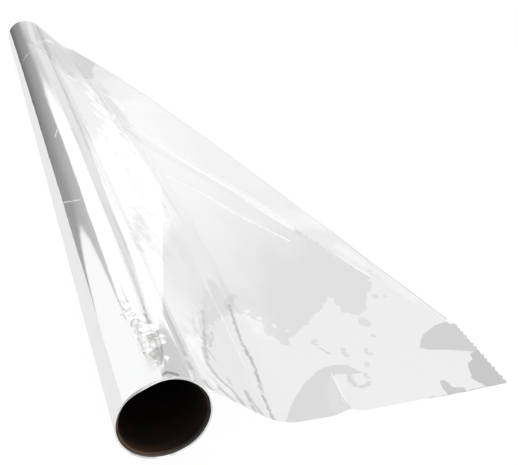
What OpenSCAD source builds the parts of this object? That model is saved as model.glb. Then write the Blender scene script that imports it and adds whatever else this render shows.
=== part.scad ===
// A part-used roll of clear cellophane, lying on a table with its loose end pulled out.
// The roll lies along Y with its near end at Y = 0, and the Y axis is its own axis.
// The outermost turn leaves the top of the roll, slopes down to the table and lies flat.
// Its free edge was cut on a toothed blade. Past the open part of the cut, the sheet is
// folded back over itself on a line that runs in to the roll at the far end.

/* [Roll] */
// Width of the film, which is the length of the roll
film_w = 700; // [500:10:1000]
// Inside diameter of the card core
core_bore = 36; // [30:1:42]
// Thickness of the core's card wall
core_wall = 1.2; // [0.8:0.1:3]
// Thickness of all the film still wound on the core
wound_t = 0.6; // [0.5:0.1:3]

/* [Loose sheet] */
// Thickness of the sheet, which stands in for a film about 0.03 thick
sheet_t = 0.3; // [0.2:0.05:0.4]
// From the roll's axis to the line where the sheet meets the table, at the near end
landing_near = 50; // [45:1:62]
// The same at the far end
landing_far = 46; // [43:1:48]
// How much further out that line lies halfway along the roll
landing_bow = 12; // [0:1:20]
// Radius of the bend where the sheet meets the table
landing_r = 4; // [2:0.5:6]
// From the roll's axis to the cut edge, at the near corner
reach = 157; // [140:1:200]
// How far the sheet is pulled towards the near end, per unit of its reach
skew = 0.095; // [0:0.005:0.15]
// Height of the gentle ripples in the sheet
ripple_h = 0.8; // [0:0.1:2]
// Height of the ruck at the near selvedge
ruck_h = 1.9; // [0:0.1:4]
// From the roll's axis to the ruck
ruck_x = 81; // [75:1:110]

/* [Cut edge] */
// Length of the cut edge that lies open
open_cut = 50; // [30:1:90]
// Distance from one tooth mark to the next
tooth_pitch = 3.3; // [2.5:0.1:6]
// Depth of a tooth mark
tooth_depth = 1.1; // [0.3:0.1:2]

/* [Fold] */
// From the roll's axis to the fold, at the far end
fold_far = 52.5; // [52:0.5:70]
// Share of the fold's way inwards that it takes as a growing curve
fold_bow = 0.22; // [0:0.01:0.5]
// Clear gap inside the fold
fold_gap = 0.9; // [0.6:0.1:2.5]
// How much wider the folded flap gets, per unit of length along the roll
flap_spread = 0.187; // [0.1:0.001:0.25]
// How far the flap reaches over the top of the roll, past where the sheet leaves it
flap_wrap = 24; // [5:1:30]

/* [Hidden] */
$fn = 96;

deg = 180 / PI;
core_fit = 0.02;
core_r = core_bore / 2 + core_wall;
outer_r = core_r + wound_t;
inner_r = core_r + core_fit;
mid_r = outer_r - sheet_t / 2;
table_z = sheet_t / 2 - outer_r;
under_angle = acos((outer_r - sheet_t) / outer_r);
root_len = 1.3 * outer_r * sin(under_angle);
layer_step = fold_gap + sheet_t;
fold_arc = PI * layer_step / 2;
edge_strip = 0.5;
curl_len = 10;

wall_lines = 44;
bore_lines = 48;
slope_steps = 4;
bend_steps = 3;
flat_steps = 6;
arc_steps = 4;
flap_steps = 13;
teeth = round(open_cut / tooth_pitch);
curl_steps = 4;
long_steps = 33;
stations = concat(
    [for (i = [0 : 2 * teeth]) i * open_cut / (2 * teeth)],
    [for (i = [1 : curl_steps]) open_cut + i * curl_len / curl_steps],
    [for (i = [1 : long_steps])
        open_cut + curl_len + i * (film_w - open_cut - curl_len) / long_steps]
);
last_station = len(stations) - 1;

function smooth(t) = let (c = max(0, min(1, t))) c * c * (3 - 2 * c);

// The line on the table where the sheet lands, and the slope that leads down to it.
// lean is how far round from the top of the roll the sheet leaves it.
function landing_x(y) =
    landing_near + (landing_far - landing_near) * y / film_w
    + landing_bow * sin(180 * y / film_w);
function lean(y) =
    let (x = landing_x(y))
    atan2(-table_z, x) + asin(mid_r / norm([x, table_z]));
function slope_len(y) = (mid_r * cos(lean(y)) - table_z) / sin(lean(y));
function bend_cut(y) = landing_r * tan(lean(y) / 2);
function bend_start(y) = slope_len(y) - bend_cut(y);
function bend_end(y) = bend_start(y) + landing_r * lean(y) / deg;
function flat_x(y) = landing_x(y) + bend_cut(y);

// The sheet's line across the roll, as a point and the upward normal there.
// s is the way along the film from where it leaves the roll; under 0 it is on the roll.
function path(y, s) =
    let (a = lean(y))
    s < 0
        ? let (t = a + s / mid_r * deg)
            [mid_r * [sin(t), cos(t)], [sin(t), cos(t)]]
        : s < bend_start(y)
            ? [mid_r * [sin(a), cos(a)] + s * [cos(a), -sin(a)], [sin(a), cos(a)]]
            : s < bend_end(y)
                ? let (t = a - (s - bend_start(y)) / landing_r * deg)
                    [[flat_x(y), table_z + landing_r] - landing_r * [sin(t), cos(t)],
                     [sin(t), cos(t)]]
                : [[flat_x(y) + s - bend_end(y), table_z], [0, 1]];
function way_to(y, x) = bend_end(y) + x - flat_x(y);

// The cut edge and the fold, as distances from the roll's axis
function cut_x(y) = reach + skew * y;
function fold_x(y) =
    let (
        u = (y - open_cut) / (film_w - open_cut),
        near = cut_x(open_cut) - edge_strip - fold_arc
    )
    near + (fold_far - layer_step / 2 - near) * ((1 - fold_bow) * u + fold_bow * u ^ 3);
function turn_x(y) = y <= open_cut ? cut_x(y) - edge_strip - fold_arc : fold_x(y);
function curl(y) = smooth((y - open_cut) / curl_len);
function flap_len(y) =
    min(
        edge_strip + flap_spread * max(0, y - open_cut - curl_len),
        way_to(y, turn_x(y)) + flap_wrap
    );

// Ripples that fade out at the roll, and a ruck that runs in from the near selvedge
function ripple(x, y) =
    smooth((x - outer_r) / 25) * ripple_h * (1 + sin(5.2 * x + 1.9 * y) * cos(3.1 * y - 2.3 * x)) / 2
    + ruck_h * exp(-((x - ruck_x - 0.15 * y) / 5) ^ 2 - y / 16);

// Points along one station from the roll to the cut edge, each with its normal
function across(y) =
    let (
        turn = way_to(y, turn_x(y)),
        a = 180 * curl(y),
        r = a > 0 ? fold_arc / a * deg : 0,
        end = path(y, turn)[0],
        tip = a > 0 ? r * [sin(a), 1 - cos(a)] : [fold_arc, 0]
    )
    concat(
        [for (i = [0 : slope_steps])
            path(y, root_len + (bend_start(y) - root_len) * i / slope_steps)],
        [for (i = [1 : bend_steps])
            path(y, bend_start(y) + (bend_end(y) - bend_start(y)) * i / bend_steps)],
        [for (i = [1 : flat_steps]) path(y, bend_end(y) + (turn - bend_end(y)) * i / flat_steps)],
        [for (i = [1 : arc_steps])
            let (b = a * i / arc_steps)
            [end + (a > 0 ? r * [sin(b), 1 - cos(b)] : [fold_arc * i / arc_steps, 0]),
             [-sin(b), cos(b)]]],
        [for (i = [1 : flap_steps])
            let (d = flap_len(y) * i / flap_steps, p = path(y, turn - d))
            curl(y) < 1
                ? [end + tip + d * [cos(a), sin(a)], [-sin(a), cos(a)]]
                : [p[0] + layer_step * p[1], -p[1]]]
    );

// A point of the roll's outer surface, t round from its top
function on_roll(t, y) = [outer_r * sin(t), y, outer_r * cos(t)];

// One station's line of points: out along the sheet's upper face and back along its lower
// face. It starts and ends on the roll, where those faces leave its surface.
function ring(i) =
    let (
        y = stations[i],
        line = across(y),
        last = len(line) - 1,
        tooth = y < open_cut && i % 2 == 1 ? tooth_depth : 0,
        place = function (j, side)
            let (p = line[j][0], n = line[j][1], out = p.x + (j == last ? tooth : 0))
            [out + side * sheet_t / 2 * n.x,
             y - skew * max(0, p.x - landing_x(y)),
             p.y + side * sheet_t / 2 * n.y + ripple(p.x, y)]
    )
    concat(
        [on_roll(lean(y), y)],
        [for (j = [0 : last]) place(j, 1)],
        [for (j = [last : -1 : 0]) place(j, -1)],
        [on_roll(lean(y) + under_angle, y)]
    );

// Triangles between an outer and an inner loop of [angle, point number], one turn each
function zip(out, inn, i = 0, j = 0) =
    i == len(out) - 1 && j == len(inn) - 1
        ? []
        : j == len(inn) - 1 || (i < len(out) - 1 && out[i + 1][0] <= inn[j + 1][0])
            ? concat([[out[i][1], out[i + 1][1], inn[j][1]]], zip(out, inn, i + 1, j))
            : concat([[out[i][1], inn[j + 1][1], inn[j][1]]], zip(out, inn, i, j + 1));

function flipped(faces) = [for (f = faces) [for (k = [len(f) - 1 : -1 : 0]) f[k]]];

// The wound turns and the loose sheet as one solid, built station by station
module wound_film() {
    rings = [for (i = [0 : last_station]) ring(i)];
    m = len(rings[0]);
    leans = [for (y = stations) lean(y)];
    first_wall = max(leans) + under_angle + 2;
    wall_step = (360 + min(leans) - 2 - first_wall) / wall_lines;
    wall_id = (last_station + 1) * m;
    bore_id = wall_id + 2 * (wall_lines + 1);
    bore_step = 360 / bore_lines;
    bore_r = inner_r / cos(bore_step / 2);
    bore_start = leans[0] + under_angle;

    wall_points = [for (k = [0 : wall_lines], y = [0, film_w]) on_roll(first_wall + k * wall_step, y)];
    bore_points = [for (k = [0 : bore_lines - 1], y = [0, film_w])
        let (t = bore_start + k * bore_step)
        [bore_r * sin(t), y, bore_r * cos(t)]];

    // Each quad is split so that the flap's triangles stay short where they go round the roll
    sheet_faces = [for (i = [0 : last_station - 1], k = [0 : m - 2])
        let (a = i * m + k)
        each k < m / 2 - 1
            ? [[a, a + m, a + 1], [a + 1, a + m, a + m + 1]]
            : [[a, a + m, a + m + 1], [a, a + m + 1, a + 1]]];
    half = floor(last_station / 2);
    lower_edge = [for (i = [0 : last_station - 1])
        [i * m + m - 1, (i + 1) * m + m - 1, wall_id + (i < half ? 0 : 1)]];
    upper_edge = [for (i = [0 : last_station - 1])
        [wall_id + 2 * wall_lines + (i < half ? 0 : 1), (i + 1) * m, i * m]];
    joins = [
        [half * m + m - 1, wall_id + 1, wall_id],
        [wall_id + 2 * wall_lines, wall_id + 2 * wall_lines + 1, half * m]
    ];
    wall_faces = [for (k = [0 : wall_lines - 1])
        let (a = wall_id + 2 * k)
        each [[a, a + 1, a + 3], [a, a + 3, a + 2]]];
    bore_faces = [for (k = [0 : bore_lines - 1])
        let (a = bore_id + 2 * k, b = bore_id + 2 * ((k + 1) % bore_lines))
        each [[a, b + 1, a + 1], [a, b, b + 1]]];

    // An end of the roll: its annulus, and the sheet's own edge beside it
    end_faces = function (i, far)
        let (
            first = i * m,
            out = concat(
                [[leans[i] + under_angle, first + m - 1]],
                [for (k = [0 : wall_lines]) [first_wall + k * wall_step, wall_id + 2 * k + far]],
                [[leans[i] + 360, first]],
                [[leans[i] + under_angle + 360, first + m - 1]]
            ),
            inn = [for (k = [0 : bore_lines])
                [bore_start + k * bore_step, bore_id + 2 * (k % bore_lines) + far]]
        )
        concat(
            zip(out, inn),
            [for (j = [0 : m / 2 - 2])
                each [[first + j, first + j + 1, first + m - 2 - j],
                      [first + j, first + m - 2 - j, first + m - 1 - j]]]
        );

    polyhedron(
        points = concat([for (r = rings) each r], wall_points, bore_points),
        faces = concat(
            sheet_faces, lower_edge, upper_edge, joins, wall_faces, bore_faces,
            end_faces(0, 0), flipped(end_faces(last_station, 1))
        ),
        convexity = 6
    );
}

// The card tube that the film is wound on
module core() {
    color([0.36, 0.29, 0.23])
        rotate([-90, 0, 0])
            difference() {
                cylinder(r = core_r, h = film_w);
                translate([0, 0, -1])
                    cylinder(d = core_bore, h = film_w + 2);
            }
}

// The film: all its turns and the loose end are one length
module film() {
    color([0.86, 0.88, 0.9])
        wound_film();
}

core();
film();
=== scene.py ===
# %% [markdown]
# A part-used roll of clear cellophane, with its loose end pulled out on a white table.
# Clear film is hard to show, because it has almost no colour of its own. What the eye
# sees is the table through it and the room mirrored in it. So this lesson models three
# things with care: the wound roll with its card tube, the limp sheet with each crease
# and its cut edge, and a studio that gives the film something to mirror.
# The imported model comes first. It is the fixed frame that every piece is fitted to.

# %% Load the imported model
import math

import bpy
import numpy as np
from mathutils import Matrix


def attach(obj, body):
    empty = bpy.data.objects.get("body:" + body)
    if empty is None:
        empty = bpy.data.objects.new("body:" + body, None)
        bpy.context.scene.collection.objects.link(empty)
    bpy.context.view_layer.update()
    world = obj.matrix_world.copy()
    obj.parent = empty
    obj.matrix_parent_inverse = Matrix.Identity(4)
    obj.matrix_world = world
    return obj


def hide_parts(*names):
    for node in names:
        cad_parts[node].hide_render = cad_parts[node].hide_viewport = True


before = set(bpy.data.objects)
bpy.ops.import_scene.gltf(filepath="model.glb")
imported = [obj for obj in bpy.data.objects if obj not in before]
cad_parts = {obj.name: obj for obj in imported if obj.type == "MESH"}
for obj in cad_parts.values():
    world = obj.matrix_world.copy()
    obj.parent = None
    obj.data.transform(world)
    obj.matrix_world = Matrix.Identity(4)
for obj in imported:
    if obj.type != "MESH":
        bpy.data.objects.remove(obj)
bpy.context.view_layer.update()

# %% [markdown]
# All sizes are in millimetres, as a maker writes them, and MM turns them into metres
# when a mesh is made. They are the driving sizes of the solid model.

# %% Sizes of the roll and the loose sheet
MM = 0.001
FILM_W = 700.0
BORE_R = 18.0
CORE_R = 19.2
INNER_R = 19.22
OUTER_R = 19.8
SHEET_T = 0.3
TABLE_Z = SHEET_T / 2 - OUTER_R
LANDING_NEAR = 50.0
LANDING_FAR = 46.0
LANDING_BOW = 12.0
REACH = 157.0
SKEW = 0.095
OPEN_CUT = 50.0
TOOTH_PITCH = 3.3
TOOTH_DEPTH = 1.1
FOLD_FAR = 52.5
FOLD_BOW = 0.22
LAYER_STEP = 1.2
FOLD_ARC = math.pi * LAYER_STEP / 2
EDGE_STRIP = 0.5
CURL_LEN = 10.0
FLAP_SPREAD = 0.187
FLAP_WRAP = 24.0
RIPPLE_H = 0.8
RUCK_H = 1.9
RUCK_X = 81.0
print("roll", FILM_W, "long and", 2 * OUTER_R, "across")

# %% [markdown]
# The camera stands at the near end of the roll, a little above it, and looks down along
# it. A camera fitted to the photograph gives this place, this turn and this lens.

# %% Camera
camera_data = bpy.data.cameras.new("camera")
camera_data.lens = 50.09
camera_data.sensor_width = 36.0
camera_data.clip_start = 0.01
camera = bpy.data.objects.new("camera", camera_data)
camera.location = (-0.040, -0.2155, 0.1972)
camera.rotation_euler = (math.radians(62.15), 0.0, math.radians(-20.24))
bpy.context.collection.objects.link(camera)
bpy.context.scene.camera = camera
bpy.context.scene.view_settings.view_transform = "Standard"
print("camera at", tuple(camera.location))

# %% [markdown]
# Node trees are easier to read when one short helper makes a node, fills its sockets
# and links its inputs. A value that is a socket is linked, and any other is set.


# %% Helpers for node trees
WHITE = (1.0, 1.0, 1.0, 1.0)
FLAT = (1.0, 1.0, 0.0)
HALVES = (0.5, 0.5, 0.5)


def add_node(tree, kind, settings=None, **inputs):
    """Makes a node; inputs are given by socket name with spaces as underscores, or by i0, i1."""
    node = tree.nodes.new(kind)
    for name, value in (settings or {}).items():
        setattr(node, name, value)
    for name, value in inputs.items():
        number = name[1:]
        socket = node.inputs[int(number) if number.isdigit() else name.replace("_", " ")]
        if isinstance(value, bpy.types.NodeSocket):
            tree.links.new(value, socket)
        else:
            socket.default_value = value
    return node


def sums(tree, operation, *values):
    """One Math node, and its result."""
    inputs = {f"i{k}": value for k, value in enumerate(values)}
    return add_node(tree, "ShaderNodeMath", {"operation": operation}, **inputs).outputs[0]


def vectors(tree, operation, output="Vector", **inputs):
    """One Vector Math node, and its result."""
    node = add_node(tree, "ShaderNodeVectorMath", {"operation": operation}, **inputs)
    return node.outputs[output]


def product(tree, first, *rest):
    """All of the values multiplied."""
    for value in rest:
        first = sums(tree, "MULTIPLY", first, value)
    return first


def highest(tree, first, *rest):
    """The largest of the values; of masks, 1 where any is 1."""
    for value in rest:
        first = sums(tree, "MAXIMUM", first, value)
    return first


def one_less(tree, value):
    """What is left of 1 without the value."""
    return sums(tree, "SUBTRACT", 1.0, value)


def between(tree, value, low, high, at_low, at_high, curve="LINEAR"):
    """A ramp from one level at low to another at high; the levels may be sockets."""
    kind = {"interpolation_type": curve}
    ends = {"From_Min": low, "From_Max": high, "To_Min": at_low, "To_Max": at_high}
    return add_node(tree, "ShaderNodeMapRange", kind, Value=value, **ends).outputs["Result"]


def ramp_up(tree, value, low, high):
    """0 under low, 1 over high, and smooth between; low may be the larger of the two."""
    ends = (high, low, 1.0, 0.0) if low > high else (low, high, 0.0, 1.0)
    return between(tree, value, *ends, curve="SMOOTHSTEP")


def blend_colours(tree, factor, first, second):
    """A Mix node for colours."""
    node = add_node(tree, "ShaderNodeMix", {"data_type": "RGBA"}, i0=factor, i6=first, i7=second)
    return node.outputs[2]


def split(tree, place):
    """The X, Y and Z of a place."""
    return add_node(tree, "ShaderNodeSeparateXYZ", Vector=place).outputs[:]


def new_material(name):
    """A new material with nodes, and its node tree."""
    material = bpy.data.materials.new(name)
    material.use_nodes = True
    return material, material.node_tree


def new_mask_group(name, places, numbers):
    """A new node group that makes a mask, its input sockets and its output node."""
    group = bpy.data.node_groups.new(name, "ShaderNodeTree")
    for kind, sockets in (("NodeSocketVector", places), ("NodeSocketFloat", numbers)):
        for socket in sockets:
            group.interface.new_socket(socket, in_out="INPUT", socket_type=kind)
    group.interface.new_socket("Mask", in_out="OUTPUT", socket_type="NodeSocketFloat")
    return group, group.nodes.new("NodeGroupInput").outputs, group.nodes.new("NodeGroupOutput")


def add_noise(tree, place, scale, detail, **more):
    """A Noise Texture node; scale is in waves for each metre."""
    return add_node(tree, "ShaderNodeTexNoise", Vector=place, Scale=scale, Detail=detail, **more)


def drawn_out(tree, place, scale, detail):
    """Noise with its own scale on each axis, in waves for each metre."""
    stretched = add_node(tree, "ShaderNodeMapping", Vector=place, Scale=scale).outputs[0]
    return add_noise(tree, stretched, 1.0, detail).outputs["Fac"]


print("node helpers ready")

# %% [markdown]
# The studio. A real one for glossy goods has a white sweep with large soft lights and
# dark cards, which draw the long streaks on the film. Lamps could do that, but a world
# that is drawn by direction has no noise and needs no stands. Plain white light falls
# on everything, so colours look as written, and only mirrored rays see the cards.
# Each card is a soft-edged window: degrees round from +Y to +X, and degrees up.

# %% Studio world
world = bpy.data.worlds.new("studio")
bpy.context.scene.world = world
world.use_nodes = True
sky = world.node_tree
sky.nodes.clear()
DEGREES = 57.2958
direction = add_node(sky, "ShaderNodeTexCoord").outputs["Generated"]
to_x, to_y, to_z = split(sky, direction)
turn = product(sky, sums(sky, "ARCTAN2", to_x, to_y), DEGREES)
rise = product(sky, sums(sky, "ARCSINE", to_z), DEGREES)

# turn from, to, softness; rise from, to, softness; level at its foot and its top; slant
CARDS = [
    (-60, 7, 5, -8, 30, 4, 0.05, 0.74, 0.0),
    (-70, -25, 10, -12, 8, 6, 0.52, 0.52, 0.0),
    (-3, 90, 4, -20, 14, 4, 0.9, 1.05, 0.0),
    (0, 60, 3.0, 14, 26, 2.5, 1.3, 1.3, 0.5),
    (-12, 90, 2.0, 25, 33, 2.5, 1.2, 1.2, 0.5),
    (4.3, 15, 1.8, 16.5, 35, 2.5, 1.5, 1.5, -0.45),
    (-14, 3, 2.0, 16.5, 35, 2.5, 1.5, 1.5, 0.5),
    (21.2, 60, 1.2, -20, 25, 3, 1.4, 1.4, 0.5),
    (22, 90, 1.5, 26.5, 70, 1.2, 0.76, 0.76, 0.0),
    (38.3, 120, 0.8, -14, 30, 3, 0.82, 0.76, -0.33),
    (-75, -32.4, 0.7, -4, 60, 2, 1.25, 1.25, 0.64),
    (-26, 14, 3.0, 36.5, 60, 1.0, 1.22, 1.22, 0.0),
    (95, 118, 3, -8, 50, 6, 0.12, 0.3, 0.0),
    (150, 178, 3, 12, 62, 5, 1.3, 1.3, 0.0),
    (-125, -100, 3, -8, 60, 6, 0.15, 0.4, 0.0),
    (-176, -150, 3, 6, 40, 5, 1.2, 1.2, 0.0),
]


def window(value, start, end, softness):
    """1 between start and end, with soft sides."""
    rising = ramp_up(sky, value, start - softness, start + softness)
    falling = ramp_up(sky, value, end + softness, end - softness)
    return product(sky, rising, falling)


ROOM_LOW, ROOM_HIGH = -10.0, 70.0
ROOM_DIM, ROOM_BRIGHT = 0.62, 0.95
level = between(sky, rise, ROOM_LOW, ROOM_HIGH, ROOM_DIM, ROOM_BRIGHT)
for t0, t1, t_soft, r0, r1, r_soft, foot, top, slant in CARDS:
    round_from = sums(sky, "SUBTRACT", turn, product(sky, rise, slant))
    inside = product(sky, window(round_from, t0, t1, t_soft), window(rise, r0, r1, r_soft))
    level = between(sky, inside, 0.0, 1.0, level, between(sky, rise, r0, r1, foot, top))
seen = add_node(sky, "ShaderNodeLightPath")
cards_light = add_node(sky, "ShaderNodeBackground", Strength=level)
plain_light = add_node(sky, "ShaderNodeBackground", Color=WHITE, Strength=1.0)
either = add_node(
    sky,
    "ShaderNodeMixShader",
    i0=seen.outputs["Is Glossy Ray"],
    i1=plain_light.outputs[0],
    i2=cards_light.outputs[0],
)
add_node(sky, "ShaderNodeOutputWorld", Surface=either.outputs[0])
print("cards in the studio:", len(CARDS))

# %% [markdown]
# The table is one plain white sheet. It glows by nearly the whole of its whiteness, and
# the small rest is lit, so that a faint shadow stays where the roll touches it. In a
# mirror it is a little dimmer, but brighter past the roll, where the film mirrors it.

# %% Table
TABLE_LEFT, TABLE_RIGHT, TABLE_FRONT, TABLE_BACK = -0.45, 0.9, -0.6, 1.05
TABLE_GAP = 0.0001
TABLE_GLOW = 0.94
TABLE_REST = (0.07, 0.07, 0.07, 1.0)
MIRRORED_CHANGE = -0.16
PAST_ROLL_CHANGE = 0.5
table_mesh = bpy.data.meshes.new("table")
floor_z = -OUTER_R * MM - TABLE_GAP
corners = (
    (TABLE_LEFT, TABLE_FRONT),
    (TABLE_RIGHT, TABLE_FRONT),
    (TABLE_RIGHT, TABLE_BACK),
    (TABLE_LEFT, TABLE_BACK),
)
table_mesh.from_pydata([(x, y, floor_z) for x, y in corners], [], [(0, 1, 2, 3)])
table = bpy.data.objects.new("table", table_mesh)
bpy.context.collection.objects.link(table)
table_look, tree = new_material("white_table")
tree.nodes.clear()
in_mirror = add_node(tree, "ShaderNodeLightPath").outputs["Is Glossy Ray"]
table_x, table_y, _ = split(tree, add_node(tree, "ShaderNodeTexCoord").outputs["Object"])
past_roll = product(
    tree,
    ramp_up(tree, table_x, 0.06, 0.16),
    ramp_up(tree, table_y, 0.16, 0.34),
    ramp_up(tree, table_y, 0.84, 0.70),
)
change = sums(tree, "MULTIPLY_ADD", past_roll, PAST_ROLL_CHANGE, MIRRORED_CHANGE)
glow_level = sums(tree, "MULTIPLY_ADD", in_mirror, change, TABLE_GLOW)
glow = add_node(tree, "ShaderNodeEmission", Color=WHITE, Strength=glow_level)
lit = add_node(tree, "ShaderNodeBsdfDiffuse", Color=TABLE_REST)
both = add_node(tree, "ShaderNodeAddShader", i0=glow.outputs[0], i1=lit.outputs[0])
add_node(tree, "ShaderNodeOutputMaterial", Surface=both.outputs[0])
table_mesh.materials.append(table_look)
print("table at", floor_z)

# %% [markdown]
# Every piece here is a grid of points: some rows along the roll and some columns round
# or across it. One helper turns such a grid into a smooth mesh, and it can close the
# columns into a ring.


# %% Helper that makes a mesh of a grid
def grid_piece(name, points, material, closed=False, turned_over=False):
    """points has the shape rows x columns x 3, in millimetres."""
    rows, columns = points.shape[:2]
    index = np.arange(rows * columns).reshape(rows, columns)
    if closed:
        index = np.concatenate([index, index[:, :1]], axis=1)
    if turned_over:
        index = index[::-1]
    quads = np.stack([index[:-1, :-1], index[1:, :-1], index[1:, 1:], index[:-1, 1:]], axis=-1)
    mesh = bpy.data.meshes.new(name)
    mesh.from_pydata((points.reshape(-1, 3) * MM).tolist(), [], quads.reshape(-1, 4).tolist())
    mesh.polygons.foreach_set("use_smooth", [True] * len(mesh.polygons))
    mesh.update()
    piece = bpy.data.objects.new(name, mesh)
    bpy.context.collection.objects.link(piece)
    mesh.materials.append(material)
    print(name, "has", len(mesh.polygons), "faces")
    return piece


# %% [markdown]
# The card tube. It is wound from brown paper strips on a slant, so its bore has a
# helical seam and its cut end shows plies. It could stay a plain turned tube, but its
# mouth is the nearest thing in the picture. So it is one closed profile turned round the
# axis, with a rounded end, and the seam and the fibres come from a bump in the card.
# Away from its left side the card gets a painted shade, and the bore is painted near
# black, also painted shade. The wall's left side is lighter at its mouth, a painted light
# where light from the room comes in.

# %% Card material
SEAM_PITCH = 0.085
PLY_T = 0.0003
FIBRE_BROWNS = (0.075, 0.045, 0.028, 1.0), (0.15, 0.10, 0.065, 1.0)
SHADED_BROWN = (0.018, 0.013, 0.010, 1.0)
BORE_SHADE_BROWNS = (0.005, 0.002, 0.0012, 1.0), (0.012, 0.005, 0.0025, 1.0)
MOUTH_LIT_BROWN = (0.045, 0.024, 0.012, 1.0)
SEAM_BROWN = (0.005, 0.0025, 0.0015, 1.0)
card, tree = new_material("wound_card")
shader = tree.nodes["Principled BSDF"]
place = add_node(tree, "ShaderNodeTexCoord").outputs["Object"]
across, along, up = split(tree, place)
around = sums(tree, "DIVIDE", sums(tree, "ARCTAN2", up, across), 2 * math.pi)
helix = sums(tree, "SUBTRACT", sums(tree, "DIVIDE", along, SEAM_PITCH), around)
seam = sums(tree, "SUBTRACT", sums(tree, "FRACT", helix), 0.5)
seam_line = ramp_up(tree, sums(tree, "ABSOLUTE", seam), 0.02, 0.0)
fibre = drawn_out(tree, place, (900.0, 260.0, 900.0), 4.0)
mottle = add_noise(tree, place, 55.0, 3.0).outputs["Fac"]
squares = sums(tree, "ADD", product(tree, across, across), product(tree, up, up))
radius = sums(tree, "SQRT", squares)
ply = sums(tree, "SINE", product(tree, radius, 2 * math.pi / PLY_T))
in_bore = ramp_up(tree, radius, 0.0184, 0.01802)
# the left side keeps the lit brown, and the rest of the card gets a painted shade
left_side = ramp_up(tree, sums(tree, "MULTIPLY_ADD", up, 0.45, across), 0.004, -0.018)
brown = blend_colours(tree, fibre, *FIBRE_BROWNS)
brown = blend_colours(tree, left_side, SHADED_BROWN, brown)
# the bore is painted near black as painted shade, with painted light at its mouth on the left
mouth_glow = product(tree, left_side, ramp_up(tree, along, 0.008, 0.0016))
bore_shade_brown = blend_colours(tree, mottle, *BORE_SHADE_BROWNS)
bore_shade_brown = blend_colours(tree, mouth_glow, bore_shade_brown, MOUTH_LIT_BROWN)
colour = blend_colours(tree, in_bore, brown, bore_shade_brown)
colour = blend_colours(tree, product(tree, seam_line, 0.6), colour, SEAM_BROWN)
tree.links.new(colour, shader.inputs["Base Color"])
shader.inputs["Roughness"].default_value = 0.72
shader.inputs["Specular IOR Level"].default_value = 0.3
lines = sums(tree, "ADD", product(tree, seam_line, -1.2), product(tree, ply, 0.15))
height = sums(tree, "ADD", product(tree, fibre, 0.35), lines)
bump = add_node(tree, "ShaderNodeBump", Height=height, Strength=0.5, Distance=0.0002)
tree.links.new(bump.outputs[0], shader.inputs["Normal"])
print("card material ready")

# %% Card tube
TUBE_SIDES = 128
EDGE_ROUND = 0.3
RECESS = 1.6
STATIONS = 60
angles = np.arange(TUBE_SIDES) * 2 * math.pi / TUBE_SIDES


def tube_profile(inner, outer, edge, length, stations):
    """Radius and place along the axis, once round a tube's wall, starting on its outside."""
    bend = np.linspace(0, math.pi / 2, 4)
    high, low, near, far = outer - edge, inner + edge, edge, length - edge
    outside = [(outer, y) for y in np.linspace(near, far, stations)]
    far_out = [(high + edge * math.cos(b), far + edge * math.sin(b)) for b in bend[1:]]
    far_in = [(low - edge * math.sin(b), far + edge * math.cos(b)) for b in bend]
    inside = [(inner, y) for y in np.linspace(far, near, stations)]
    near_in = [(low - edge * math.cos(b), near - edge * math.sin(b)) for b in bend[1:]]
    near_out = [(high + edge * math.sin(b), near - edge * math.cos(b)) for b in bend]
    return np.array(outside + far_out + far_in + inside + near_in + near_out)


def turned(profile, angles):
    """Points of a profile turned round the Y axis."""
    r = profile[:, 0][:, None] * np.ones(len(angles))
    y = profile[:, 1][:, None] * np.ones(len(angles))
    return np.stack([r * np.sin(angles), y, r * np.cos(angles)], axis=-1)


profile = tube_profile(BORE_R, CORE_R, EDGE_ROUND, FILM_W - 2 * RECESS, STATIONS)
profile[:, 1] += RECESS
tube_points = turned(np.concatenate([profile, profile[:1]]), angles)
card_tube = grid_piece("card_tube", tube_points, card, closed=True)
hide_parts("core")
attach(card_tube, "root")

# %% [markdown]
# The film leaves the roll on a tangent, comes down to the table on a slope and lies
# flat. These are the same lines as in the solid model: where the sheet lands, how far
# round the roll it leaves it, and a point of the sheet after any length of film.


# %% The sheet's line across the roll
def smooth(t):
    """0 to 1 with soft ends."""
    t = np.clip(t, 0.0, 1.0)
    return t * t * (3 - 2 * t)


def landing_x(y):
    share = y / FILM_W
    straight = LANDING_NEAR + (LANDING_FAR - LANDING_NEAR) * share
    return straight + LANDING_BOW * np.sin(np.pi * share)


LEAVING_GAP = 0.03
FILM_R = OUTER_R + LEAVING_GAP


def lean(y):
    x = landing_x(y)
    return np.arctan2(-TABLE_Z, x) + np.arcsin(FILM_R / np.hypot(x, TABLE_Z))


def slope_length(y):
    a = lean(y)
    return (FILM_R * np.cos(a) - TABLE_Z) / np.sin(a)


LANDING_R = 24.0


def bend_cut(y):
    return LANDING_R * np.tan(lean(y) / 2)


def bend_start(y):
    return slope_length(y) - bend_cut(y)


def bend_end(y):
    return bend_start(y) + LANDING_R * lean(y)


def flat_x(y):
    return landing_x(y) + bend_cut(y)


def sheet_line(y, s):
    """Points (x, z) and upward normals after a length s of film; under 0 it is on the roll."""
    a = lean(y)
    on_roll = a + s / FILM_R
    in_bend = a - (s - bend_start(y)) / LANDING_R
    x = flat_x(y) + s - bend_end(y)
    z = TABLE_Z + 0 * s
    tilt = 0 * s
    here = s < bend_end(y)
    x = np.where(here, flat_x(y) - LANDING_R * np.sin(in_bend), x)
    z = np.where(here, TABLE_Z + LANDING_R - LANDING_R * np.cos(in_bend), z)
    tilt = np.where(here, in_bend, tilt)
    here = s < bend_start(y)
    x = np.where(here, FILM_R * np.sin(a) + s * np.cos(a), x)
    z = np.where(here, FILM_R * np.cos(a) - s * np.sin(a), z)
    tilt = np.where(here, a, tilt)
    here = s < 0
    x = np.where(here, FILM_R * np.sin(on_roll), x)
    z = np.where(here, FILM_R * np.cos(on_roll), z)
    tilt = np.where(here, on_roll, tilt)
    return x, z, np.sin(tilt), np.cos(tilt)


def way_to(y, x):
    return bend_end(y) + x - flat_x(y)


print("free film on the slope:", round(float(slope_length(0.0)), 1), "mm at the near end")


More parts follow.
